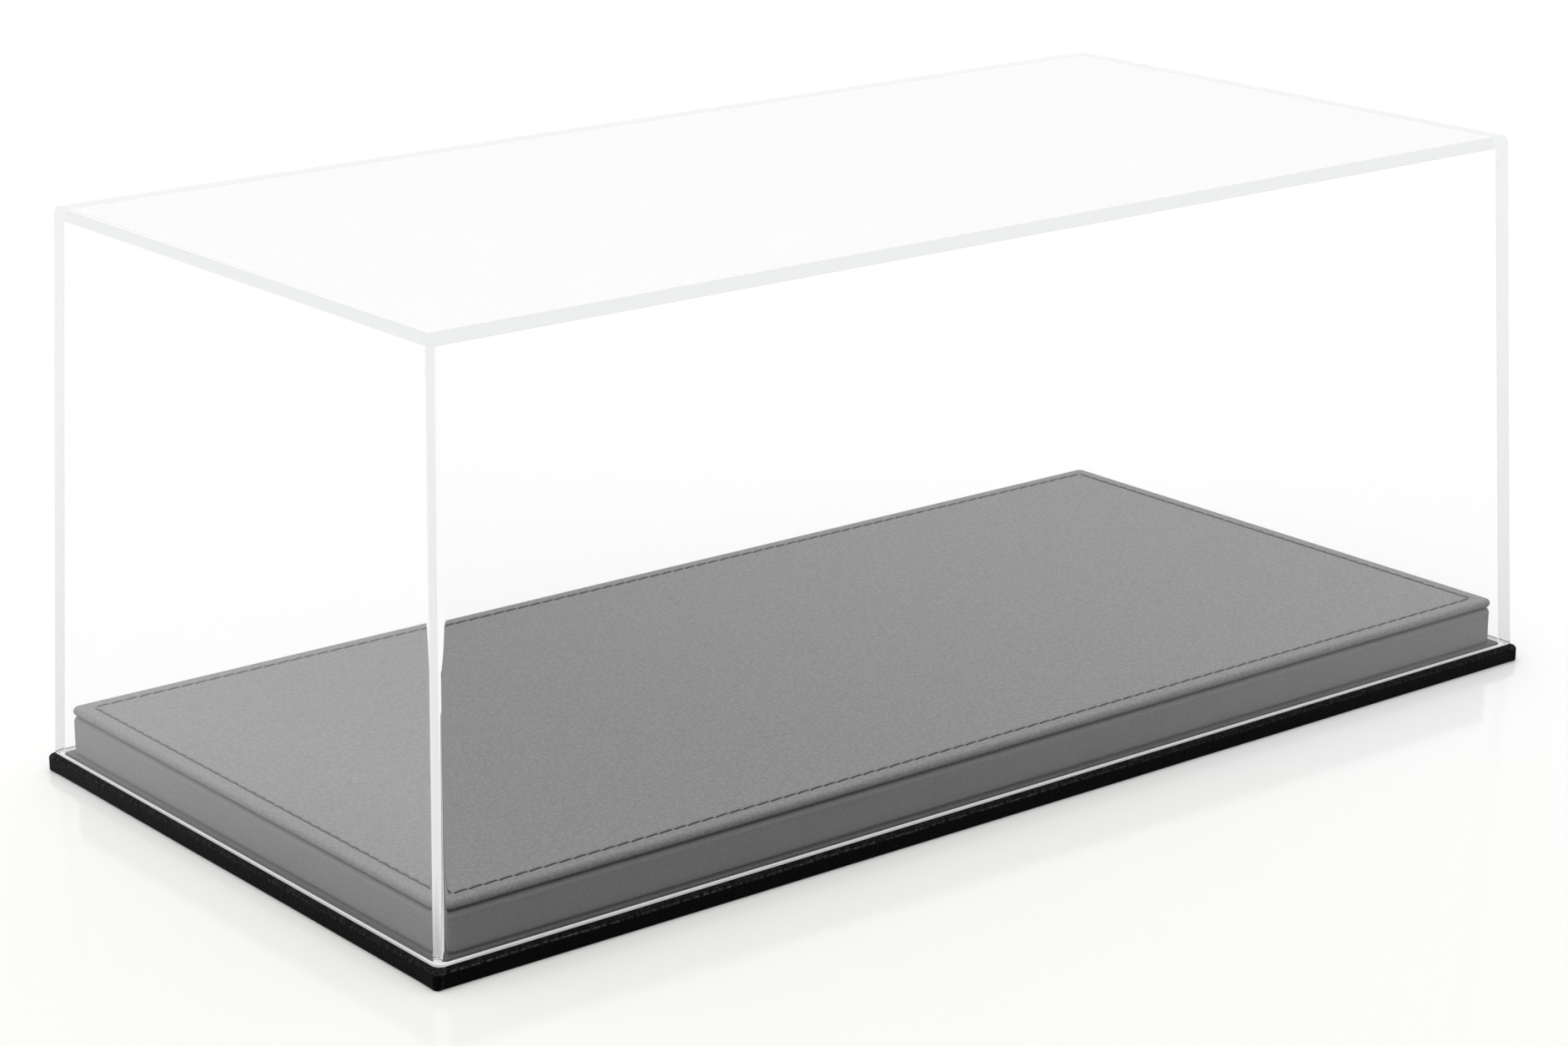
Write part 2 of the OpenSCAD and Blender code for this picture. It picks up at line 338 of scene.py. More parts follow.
@dataclass(frozen=True)
class ClearAcrylic:
    """Polished clear acrylic that lets lamps through, with the faint marks of a wiping cloth."""

    name: str
    ior: float = 1.49  # how strongly it bends light
    haze: float = 0.015  # roughness of its polish
    wipes: Triple = (30.0, 30.0, 6.0)  # marks in a metre along X, Y and Z
    wiping: Triple = (0.0, 0.3, 0.4)  # how they are turned, in radians
    passing: Colour = (0.96, 0.96, 0.96)  # of light through one surface
    far: Colour = (0.99, 0.99, 0.99)  # of light through a surface of the walls behind
    edge: Colour = (0.845, 0.855, 0.858)  # of light that went to and fro inside, at the top
    foot_shade: Colour = (0.77, 0.78, 0.783)  # that colour at the foot, darker as painted shade
    graded: Pair = (0.01, 0.125)  # heights between which that painted shade fades from foot to top, in metres
    stain: Colour = (0.94, 0.95, 0.955)  # that light takes on inside
    density: float = 0.8  # how fast, for each metre

    def material(self) -> Material:
        """Makes the material: a glass-like shader, swapped for plain clear films.

        Light from lamps and walls passes through a film. So does a look through the case's far walls, which
        adds no second image there, and light that went to and fro inside a wall, which leaves it evenly
        through a
        film that is darker towards the foot: painted shade.

        Returns:
            The material.
        """
        tree = ShaderTree(bpy.data.materials.new(self.name))
        wipe = tree.streaks(self.wipes, self.wiping, 4.0)
        names = ("Ray Depth", "Transparent Depth", "Is Diffuse Ray", "Is Shadow Ray")
        depth, passed, diffuse, shadow = tree.path(*names)
        behind = tree.signal(tree.node("ShaderNodeNewGeometry"), "Backfacing")
        far = (depth.ramp(1.0, 2.0) * (1.0 - behind)).at_least(passed.ramp(0.0, 1.0))
        trapped = depth.ramp(0.0, 1.0) * tree.mark(OUTSIDE) * behind
        rise = tree.axes(tree.places())[2]
        # Painted shade: the film of trapped light is darker towards the foot.
        low = trapped * (1.0 - rise.ramp(*self.graded))
        shader = tree.principled(
            Base_Color=(*WHITE, 1.0),
            Roughness=self.haze * (0.7 + wipe * 0.6),
            IOR=self.ior,
            Transmission_Weight=1.0,
        )
        shares = (trapped, low, far, diffuse, shadow)
        for share, film in zip(shares, (self.edge, self.foot_shade, self.far, self.passing, self.passing)):
            clear = tree.node("ShaderNodeBsdfTransparent", None, {"Color": (*film, 1.0)})
            shader = tree.mixed(share, shader, clear)
        stain = {"Color": (*self.stain, 1.0), "Density": self.density}
        tree.show(tree.node("ShaderNodeVolumeAbsorption", None, stain), "Volume")
        return tree.show(shader)


@dataclass(frozen=True)
class SawnAcrylic:
    """The cut foot of the cover: white and frosted, with a line of painted shade along it and painted shade
    at its outer edge.

    Places across the foot go from 0 inside to 1 outside.
    """

    name: str
    colour: Colour
    relief: float  # depth of the cutter's marks
    cuts: Triple = (1800.0, 1800.0, 200.0)  # marks in a metre along X, Y and Z
    line_in: Pair = (0.42, 0.52)  # where the line of painted shade begins, and is full
    line_out: Pair = (0.52, 0.64)  # where it fades
    rim: Pair = (0.76, 0.86)  # where the painted shade at the outer edge begins, and is full
    dark: float = 0.02  # share of the colour that the painted shade at the edge keeps

    def material(self) -> Material:
        """Makes the material: a matt white with a cutter's streaks, darkened by painted shade in bands across
        the foot.

        Returns:
            The material.
        """
        tree = ShaderTree(bpy.data.materials.new(self.name))
        marks = tree.streaks(self.cuts)
        painted_shade = tree.mark(PAINTED_SHADE)
        line = painted_shade.ramp(*self.line_in) * (1.0 - painted_shade.ramp(*self.line_out) * 0.75)
        foot_shade = (line * 0.7).at_least(painted_shade.ramp(*self.rim) * 0.97)
        white = tree.tones(marks, self.colour, 0.9, 1.0)
        return tree.show(
            tree.principled(
                Base_Color=tree.tint(foot_shade, white, shade(self.colour, self.dark)),
                Roughness=0.45 + marks * 0.2,
                Normal=tree.bump(marks, self.relief),
            )
        )


@dataclass(frozen=True)
class Grained:
    """A finish with one grain over soft patches: thread, felt, pressed fibre or plated steel."""

    name: str
    colour: Colour  # its mean
    tones: Pair  # factors on the colour where it is darkest and lightest
    grain: Triple  # grains in a metre along X, Y and Z
    relief: float  # height of the grain
    roughness: Pair  # the least, and what the grain adds
    turns: tuple[float, ...] = (0.0,)  # ways that the grain lies, in radians
    detail: float = 3.0  # octaves of the grain
    rough: float = 0.6  # share that each octave keeps
    patches: float = 1.0  # in a metre
    patch_detail: float = 2.0  # octaves of the patches
    patched: float = 0.0  # their share in the tone
    metal: float = 0.0
    sheen: float = 0.0

    def material(self) -> Material:
        """Makes the material: the tone is the greatest of the grain's ways, mixed with the patches.

        Returns:
            The material.
        """
        tree = ShaderTree(bpy.data.materials.new(self.name))
        ways = (tree.streaks(self.grain, (0.0, 0.0, turn), self.detail, self.rough) for turn in self.turns)
        grain = reduce(Signal.at_least, ways)
        patches = tree.noise(tree.places(), self.patches, self.patch_detail)
        tone = grain * (1.0 - self.patched) + patches * self.patched
        return tree.show(
            tree.principled(
                Base_Color=tree.tones(tone, self.colour, *self.tones),
                Metallic=self.metal,
                Roughness=self.roughness[0] + grain * self.roughness[1],
                Normal=tree.bump(grain, self.relief),
                Sheen_Weight=self.sheen,
            )
        )


def finishes() -> dict[str, Material]:
    """Makes every finish of the case.

    Returns:
        The materials, by name.
    """
    satin = dict(roughness=0.55, pebble=1.5, shine=0.3)
    smooth = dict(relief=0.025, contrast=0.1)
    wrapped = dict(roughness=0.38, pebble=1.0, relief=0.08, contrast=0.3, shine=0.04, wrinkle=0.06)
    twist = dict(rough=0.65, patches=60.0, patched=0.3, roughness=(0.7, 0.2), relief=0.03, sheen=0.25)
    matted = dict(turns=(0.7, -0.9), roughness=(0.85, 0.12), relief=0.12, sheen=0.3)
    fibre = dict(turns=(0.5,), detail=4.0, rough=0.65, patches=35.0, patch_detail=3.0, patched=0.3)
    pressed = dict(roughness=(0.75, 0.2), relief=0.05, **fibre)
    turned = dict(detail=2.0, rough=0.5, patches=2500.0, patched=1.0)
    plated = dict(roughness=(0.28, 0.2), relief=0.01, metal=1.0, **turned)
    fine, *flecks = (1.0 / (length * MM) for length in (0.06, 0.5, 0.9))
    board, card = ((fleck, 2.5 * fleck, 2.5 * fleck) for fleck in flecks)
    made = (
        Leatherette("pebbled_black", (0.002, 0.002, 0.0022), **wrapped),
        Leatherette("pebbled_grey", (0.238, 0.238, 0.242), relief=0.11, contrast=0.2, **satin),
        Leatherette("taut_grey", (0.252, 0.252, 0.256), **smooth, **satin),
        # The floor sheet is the grey leatherette, darkened as painted shade in the strip between band and
        # cover.
        Leatherette("grey_in_painted_shade", (0.085, 0.085, 0.088), roughness=0.6, pebble=1.5, shine=0.2, **smooth),
        ClearAcrylic("polished_acrylic"),
        SawnAcrylic("sawn_acrylic", WHITE, relief=0.02),
        Grained("twisted_thread", (0.032, 0.032, 0.034), (0.6, 1.4), (fine,) * 3, **twist),
        Grained("matted_felt", (0.02, 0.02, 0.021), (0.5, 1.6), (3000.0, 700.0, 1500.0), **matted),
        Grained("raw_fibreboard", (0.42, 0.3, 0.18), (0.75, 1.25), board, **pressed),
        Grained("plain_card", (0.46, 0.41, 0.32), (0.85, 1.15), card, **pressed),
        Grained("plated_steel", (0.62, 0.6, 0.54), (0.8, 1.15), (300.0, 300.0, 6000.0), **plated),
    )
    return {finish.name: finish.material() for finish in made}


# Surfaces


@dataclass(frozen=True)
class Outline:
    """How the points of one closed ring are shared out round a rectangle with round corners."""

    corner: int  # points on each quarter circle
    long_side: int  # points between two corners along X
    short_side: int  # points between two corners along Y
    spread: Spread = Spread.EVEN
    guard: float = 0.0012  # share of a side between its end and its first point

    def sides(self) -> tuple[int, int, int, int]:
        """Points of the four sides, against the clock from the back."""
        return (self.long_side, self.short_side) * 2

    def turns(self) -> np.ndarray:
        """Outward directions of the four quarter circles, as an array (4, points, 2)."""
        angle = np.linspace(0.0, QUARTER, self.corner)[None, :] + QUARTER * np.arange(4)[:, None]
        return np.stack([np.cos(angle), np.sin(angle)], -1)

    def fractions(self, count: int) -> np.ndarray:
        """Places of a side's points between its two corners.

        A guard point stands close to each end, so that the side between them shades as flat. Packed points
        are half of one minus the cosine of an even angle, which crowds them towards the corners.

        Args:
            count: how many points.

        Returns:
            Fractions between 0 and 1.
        """
        even = np.linspace(0.0, 1.0, count)
        inner = even if self.spread is Spread.EVEN else 0.5 - 0.5 * np.cos(np.pi * even)
        return self.guard + (1.0 - 2.0 * self.guard) * inner

    def normals(self) -> np.ndarray:
        """Outward directions of the ring's points, as an array (points, 2)."""
        parts = ([way, np.repeat(way[-1:], count, 0)] for way, count in zip(self.turns(), self.sides()))
        return np.concatenate(sum(parts, []))

    def rings(self, half_x: np.ndarray, half_y: np.ndarray, radius: np.ndarray) -> np.ndarray:
        """Rings of rectangles with round corners, one for each station, against the clock seen from above.

        A corner point is its arc's centre plus the radius times the cosine and sine of an angle that runs
        through a quarter turn. A side point divides the straight line between two arcs.

        Args:
            half_x: half lengths of the stations.
            half_y: half widths of the stations.
            radius: corner radii of the stations.

        Returns:
            Array (stations, points, 2).
        """
        sign = np.array([[1, 1], [-1, 1], [-1, -1], [1, -1]], float)
        centre = sign[None] * (np.stack([half_x, half_y], -1) - radius[:, None])[:, None, :]
        arcs = centre[:, :, None, :] + radius[:, None, None, None] * self.turns()[None]
        parts = []
        for q, count in enumerate(self.sides()):
            start, stop = arcs[:, q, -1:], arcs[:, (q + 1) % 4, :1]
            t = self.fractions(count)[None, :, None]
            parts += [arcs[:, q], start * (1.0 - t) + stop * t]
        return np.concatenate(parts, axis=1)


@dataclass
class Loft:
    """Rings at rising and falling heights that enclose a piece, from its top middle round its edge."""

    half_x: np.ndarray
    half_y: np.ndarray
    radius: np.ndarray  # of the corners
    height: np.ndarray

    @classmethod
    def inset(cls, half: Pair, radius: float, profile: np.ndarray) -> "Loft":
        """Rings set in from an outline by a profile's distances, which its corner radius shrinks by too."""
        d, z = profile.T
        return cls(half[0] - d, half[1] - d, np.maximum(radius - d, 0.0), z)

    def columns(self) -> tuple[np.ndarray, ...]:
        """The rings' half lengths, half widths, radii and heights."""
        return self.half_x, self.half_y, self.radius, self.height

    def points(self, outline: Outline) -> np.ndarray:
        """The rings' points.

        Args:
            outline: how the points are shared out.

        Returns:
            Array (stations, points, 3).
        """
        flat = outline.rings(self.half_x, self.half_y, self.radius)
        tall = np.broadcast_to(self.height[:, None, None], (*flat.shape[:2], 1))
        return np.concatenate([flat, tall], -1)

    def flipped(self) -> "Loft":
        """The same rings in the opposite order."""
        return Loft(*(column[::-1] for column in self.columns()))

    def __add__(self, other: "Loft") -> "Loft":
        """Self's rings and then other's."""
        return Loft(*(np.concatenate(both) for both in zip(self.columns(), other.columns())))


def level(height: float, *insets: float) -> np.ndarray:
    """Stations of a profile at one height, as an array (stations, 2) of distance in and height."""
    return np.stack([np.array(insets), np.full(len(insets), height)], -1)


def upright(heights: np.ndarray) -> np.ndarray:
    """Stations of a profile on the outline itself, as an array (stations, 2) of distance in and height."""
    return np.stack([np.zeros(len(heights)), heights], -1)


def swing(start: float, stop: float, steps: int) -> tuple[np.ndarray, np.ndarray]:
    """Sines and cosines of even angles from start to stop, in degrees."""
    angle = np.radians(np.linspace(start, stop, steps))
    return np.sin(angle), np.cos(angle)


def round_edge(radius: float, top: float, start: float, stop: float, steps: int) -> np.ndarray:
    """Part of a rounded edge, as an array (stations, 2) of distance in from the outline and height.

    The distance is the radius times one minus the sine of an angle from upright, and the height falls from
    the top by the radius times one minus its cosine.

    Args:
        radius: radius of the edge.
        top: height of the face above it.
        start: first angle, 0 for the face above.
        stop: last angle, 90 for the side and 180 for the face below.
        steps: how many points.

    Returns:
        The stations.
    """
    s, c = swing(start, stop, steps)
    return np.stack([radius * (1.0 - s), top - radius * (1.0 - c)], -1)


def flat_sheet(half: Pair, corner_r: float, low: float, thick: float) -> np.ndarray:
    """Rings of a cut sheet that lies flat, with its edge softened above and below.

    Args:
        half: half length and half width.
        corner_r: corner radius.
        low: height of its underside.
        thick: its thickness.

    Returns:
        Array (stations, points, 3).
    """
    soft, steps = 0.35 * thick, 5
    insets = (min(half), 20.0, 3.0, soft + 0.1)
    over = round_edge(soft, low + thick, 0.0, 90.0, steps)
    under = round_edge(soft, low + 2.0 * soft, 90.0, 180.0, steps)
    profile = np.concatenate([level(low + thick, *insets), over, under, level(low, *insets[::-1])])
    return Loft.inset(half, corner_r, profile).points(Outline(corner=7, long_side=60, short_side=30))


def ring_faces(stations: int, points: int, closed: bool = False) -> np.ndarray:
    """Quads between neighbouring rings, facing outwards.

    Args:
        stations: how many rings.
        points: how many points each has.
        closed: whether the last ring joins the first.

    Returns:
        Array (faces, 4) of point numbers.
    """
    k = np.arange(stations if closed else stations - 1)[:, None]
    i = np.arange(points)[None, :]
    here, there, step = k * points, (k + 1) % stations * points, (i + 1) % points
    return np.stack(np.broadcast_arrays(here + i, there + i, there + step, here + step), -1).reshape(-1, 4)


def bell(distance: np.ndarray, width: float) -> np.ndarray:
    """A bell curve: one over the exponential of the square of a distance in widths."""
    return np.exp(-((distance / width) ** 2))


def put_down(
    name: str,
    node: str,
    points: np.ndarray,
    finishes: list[Material],
    faces: np.ndarray | None = None,
    which: np.ndarray | None = None,
    marks: dict[str, np.ndarray] | None = None,
    body: Body = Body.BASE,
) -> bpy.types.Object:
    """Makes a piece from points in mm, welds points that coincide, and puts it in a CAD node's place.

    Args:
        name: the piece's name.
        node: the CAD node that it stands for.
        points: array of points, in any shape that ends in 3.
        finishes: its materials.
        faces: array (faces, 4) of point numbers, or None for rings of points that aren't closed.
        which: number of each face's material, if it has more than one.
        marks: what each point carries for the finishes, by the attribute's name.
        body: the body that it moves with.

    Returns:
        The new object, at the origin.
    """
    faces = ring_faces(*points.shape[:2]) if faces is None else faces
    mesh = bpy.data.meshes.new(name)
    mesh.from_pydata((points.reshape(-1, 3) * MM).tolist(), [], faces.tolist())
    for finish in finishes:
        mesh.materials.append(finish)
    if which is not None:
        mesh.polygons.foreach_set("material_index", which.astype(np.int32))
    for mark, share in (marks or {}).items():
        carried = mesh.attributes.new(mark, "FLOAT", "POINT")
        carried.data.foreach_set("value", share.ravel().astype(np.float32))
    mesh.polygons.foreach_set("use_smooth", np.ones(len(faces), bool))
    work = bmesh.new()
    work.from_mesh(mesh)
    bmesh.ops.remove_doubles(work, verts=work.verts, dist=WELD)
    work.to_mesh(mesh)
    work.free()
    mesh.validate()
    piece = bpy.data.objects.new(name, mesh)
    bpy.context.scene.collection.objects.link(piece)
    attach(piece, body.value)
    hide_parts(node)
    log.info("%s: %d faces", name, len(mesh.polygons))
    return piece


# Sub-assemblies


@dataclass
class Cover:
    """The clear cover: four leaning walls and a roof, moulded in one piece and open below."""

    clear: Material  # of its polished faces
    sawn: Material  # of its foot
    foot: Pair = (161.7, 80.6)  # half length and half width at the foot
    floor: float = 4.52  # height that it stands at
    height: float = 129.48  # from foot to roof
    wall: float = 3.2  # thickness of its walls
    roof: float = 3.0  # thickness of its roof
    lean: Pair = (5.5, 4.5)  # of the end walls, and of the front and back walls
    foot_r: float = 2.0  # of its upright corners at the foot
    top_corner_r: float = 2.0  # of its upright corners at the roof
    top_r: float = 1.7  # of its upper edges
    inner_r: float = 0.8  # of its upright corners inside; its upper edges there have half
    land: float = 1.0  # height of the upright strip at the foot
    arris: float = 0.15  # of the foot's two edges
    roof_rings: Pair = (30.0, 8.0)  # rings on the roof, in from its edge
    edge_guard: float = 0.25  # from a rounded edge to the last ring on the roof
    drops: tuple[float, ...] = (0.002, 0.02, 0.1, 0.3, 0.6, 0.9, 0.98, 0.998)  # rings down the wall

    def wall_rings(self, half: Pair, low_r: float, high_r: float, edge_r: float, rise: float) -> Loft:
        """Rings of one face of the walls, from its round upper edge down to the foot's rounded edge.

        The edge is an arc that ends square to the leaning wall. The wall then runs out evenly down to the
        land, while its corner radius goes evenly from the upper one to the lower one.

        Args:
            half: half length and half width at the foot.
            low_r: corner radius at the foot.
            high_r: corner radius at the top.
            edge_r: radius of the upper edge.
            rise: height of the face above the foot.

        Returns:
            The rings, from the top down.
        """
        tilt = math.degrees(math.atan2(0.5 * sum(self.lean), rise - edge_r - self.land))
        arc = round_edge(edge_r, self.floor + rise, 0.0, 90.0 - tilt, steps=14)
        top = (half[0] - self.lean[0], half[1] - self.lean[1])
        flat = level(self.floor + rise, min(top), *self.roof_rings, max(high_r, edge_r) + self.edge_guard)
        upper = Loft.inset(top, high_r, np.concatenate([flat, arc]))
        start_in, start_z = arc[-1]
        share = np.array(self.drops)
        end = upright(self.floor + np.array([self.land, self.arris]))
        x, y = (h - (lean + start_in) * (1.0 - share) for h, lean in zip(half, self.lean))
        z = start_z + (self.floor + self.land - start_z) * share
        side = Loft(x, y, high_r + (low_r - high_r) * share, z)
        return upper + side + Loft.inset(half, low_r, end)

    def build(self) -> None:
        """Builds the cover: the outer face from the roof down, the foot, and the inner face back up."""
        inside = (self.foot[0] - self.wall, self.foot[1] - self.wall)
        outer = self.wall_rings(self.foot, self.foot_r, self.top_corner_r, self.top_r, self.height)
        r, rise = self.inner_r, self.height - self.roof
        inner = self.wall_rings(inside, low_r=r, high_r=r, edge_r=0.5 * r, rise=rise)
        s, c = swing(0.0, 90.0, 5)
        out_edge = np.stack([self.arris * (1 - c), self.floor + self.arris * (1 - s)], -1)[1:]
        in_edge = np.stack([self.wall - out_edge[::-1, 0], out_edge[::-1, 1]], -1)
        edge = np.concatenate([out_edge, in_edge])
        land = Loft.inset(self.foot, self.foot_r, edge)
        share = np.clip(edge[:, 0] / self.wall, 0.0, 1.0)
        land.radius = self.foot_r + (self.inner_r - self.foot_r) * share
        points = (outer + land + inner.flipped()).points(Outline(corner=13, long_side=14, short_side=8))
        station = np.arange(len(points))
        first = len(outer.height) + len(out_edge) - 1
        # The painted shade mark runs across the foot, from 0 inside to 1 outside.
        carried = {OUTSIDE: station < len(outer.height), PAINTED_SHADE: station <= first}
        put_down(
            "acrylic_cover",
            "clear_cover",
            points,
            [self.clear, self.sawn],
            which=np.repeat(station[:-1] == first, points.shape[1]),
            marks={name: np.broadcast_to(on[:, None], points.shape[:2]) for name, on in carried.items()},
            body=Body.COVER,
        )


@dataclass
class Base:
    """The thin black base: a board wrapped in leatherette, with a felt lining below."""

    leatherette: Material
    felt: Material
    half: Pair = (162.5, 81.4)  # half length and half width
    height: float = 4.5
    corner_r: float = 1.2  # of its corners, seen from above
    edge_r: float = 1.5  # of its upper edge
    foot_r: float = 0.5  # of its lower edge
    wrap: float = 0.5  # thickness of the leatherette
    turn_in: float = 14.0  # width of the edge that is turned under
    gap: float = 0.4  # between the turned-in edge and the lining
    top_rings: tuple[float, ...] = (30.0, 12.0, 6.0, 3.5, 2.2)  # rings on top, in from its edge
    under_ring: float = 4.0  # a ring underneath and inside
    flat_guard: float = 0.15  # from a rounded edge to the next ring on a flat face
    side_guard: float = 0.1  # the same on the sides
    pleat: float = 0.22  # height of the folded pleat at each corner
    pleat_run: float = 1.6  # length of the pleat along the long side, at half height
    pleat_slant: float = 0.35  # how much further it runs for each mm up
    pleat_wave: float = 0.25  # how far its edge strays from that
    pleat_drop: float = 0.06  # width over which its edge drops to nothing
    pleat_fade: float = 3.0  # length over which it fades along the short side
    breath: float = 0.035  # height of the slow swells along the sides
    sag: float = 0.2  # how far the top sinks at a corner
    sag_run: float = 2.5  # length over which that sinking ends
    glint_depth: float = 0.65  # of the painted highlight line down the rounded edge, in radii
    glint_width: float = 0.17  # half width of that line
    glint_wave: float = 0.12  # how far it strays up and down
    glint_left: float = 0.8  # its strength at the left of front and back
    glint_least: float = 0.2  # its strength elsewhere
    haze: float = 0.12  # painted light on all above that line
    crease: float = 0.7  # strength of the painted highlight on the pleat's edge
    crease_width: float = 0.12  # half width of that

    def profile(self) -> tuple[np.ndarray, np.ndarray]:
        """The wrap in section.

        Returns:
            Two arrays (stations, 2) of distance in and height: over the top, round both edges and under, and
            then to the turned-in edge and back inside.
        """
        w, h, r, f = self.wrap, self.height, self.edge_r, self.foot_r
        deep, ring = min(self.half), self.under_ring
        over = round_edge(r, h, 0.0, 90.0, steps=21)
        side = upright(np.linspace(h - r - self.side_guard, f + self.side_guard, 9))
        under = round_edge(f, 2.0 * f, 90.0, 180.0, steps=9)
        top = level(h, deep, *self.top_rings, r + self.flat_guard)
        outer = np.concatenate([top, over, side, under, level(0.0, f + self.flat_guard, ring)])
        inner = [level(0.0, self.turn_in), level(w, self.turn_in, ring, w), level(h - w, w, ring, deep)]
        return outer, np.concatenate(inner)

    def pleat_edge(self, z: np.ndarray) -> np.ndarray:
        """Distance of a pleat's edge from the end of the base at some heights: a slanted, wavy line."""
        return self.pleat_run + self.pleat_slant * (z - 0.5 * self.height) + self.pleat_wave * np.sin(1.7 * z)

    def folded(self, points: np.ndarray, out: np.ndarray) -> np.ndarray:
        """Pushes the outer face out where the corners are folded, and lets it breathe along the sides.

        Along the long sides the distance from the corner is the half length minus the distance from the
        middle. The fold is as high as the pleat up to its slanted edge, and drops to nothing there. On the
        short sides it fades with distance. The swells are products of slow sines, and the top sinks towards
        each corner.

        Args:
            points: array (stations, points, 3) of the outer face.
            out: outward directions of the ring's points.

        Returns:
            The points, moved.
        """
        x, y, z = np.moveaxis(points, -1, 0)
        from_end = self.half[0] - np.abs(x)
        from_front = self.half[1] - np.abs(y)
        on_long = 1.0 / (1.0 + np.exp((from_end - self.pleat_edge(z)) / self.pleat_drop))
        on_short = np.exp(-np.clip(from_front - self.corner_r, 0.0, None) / self.pleat_fade)
        steep = np.clip((self.edge_r + 0.2 - np.minimum(from_end, from_front)) / self.edge_r, 0.0, 1.0)
        fold = self.pleat * on_long * on_short * steep
        swell = self.breath * np.sin(x / 11.0 + 0.6 * np.sin(y / 7.0)) * np.sin(y / 13.0 + x / 47.0) * steep
        low = np.exp(-(from_end + from_front - 2.0 * self.corner_r).clip(0.0, None) / self.sag_run)
        sunk = self.sag * low * np.clip((z - self.height + self.edge_r) / self.edge_r, 0.0, 1.0)
        flat = points[..., :2] + (fold + swell)[..., None] * out[None]
        return np.concatenate([flat, (z - sunk)[..., None]], -1)

    def glinting(self, points: np.ndarray) -> np.ndarray:
        """Painted highlight at each point: a bell across a wavy line on the upper edge, and one on each
        pleat.

        Args:
            points: array (stations, points, 3) of the outer face.

        Returns:
            Array (stations, points) of shares.
        """
        x, y, z = np.moveaxis(points, -1, 0)
        wave = self.glint_wave * np.sin(x / 8.0) * np.sin(x / 21.0 + 1.0)
        line = self.height - self.glint_depth * self.edge_r + wave
        above = self.haze * np.clip((z - line + 0.4) / 0.3, 0.0, 1.0)
        along = np.clip((90.0 - x) / 150.0, self.glint_least, self.glint_left)
        share = np.where(self.half[1] - np.abs(y) < 2.0, along, self.glint_least)
        crease = bell(self.half[0] - np.abs(x) - self.pleat_edge(z), self.crease_width)
        return above + share * bell(z - line, self.glint_width) + self.crease * crease

    def build_wrap(self) -> None:
        """Builds the leatherette round the board."""
        outline = Outline(corner=9, long_side=150, short_side=90, spread=Spread.PACKED)
        profile = self.profile()
        outer = len(profile[0])
        points = Loft.inset(self.half, self.corner_r, np.concatenate(profile)).points(outline)
        points[:outer] = self.folded(points[:outer], outline.normals())
        # Painted highlight along the upper edge and the pleats.
        painted_highlight = np.zeros(points.shape[:2])
        painted_highlight[:outer] = self.glinting(points[:outer])
        put_down("base_leatherette", "base_wrap", points, [self.leatherette], marks={PAINTED_HIGHLIGHT: painted_highlight})

    def build_lining(self) -> None:
        """Builds the felt under the board, between the turned-in edges."""
        half = tuple(h - self.turn_in - self.gap for h in self.half)
        points = flat_sheet(half, self.corner_r, 0.0, self.wrap)
        piece = put_down("base_felt", "base_lining", points, [self.felt])
        tuple(2.0 * h * MM for h in half)

    def build(self) -> None:
        """Builds all of the base that shows."""
        self.build_wrap()
        self.build_lining()


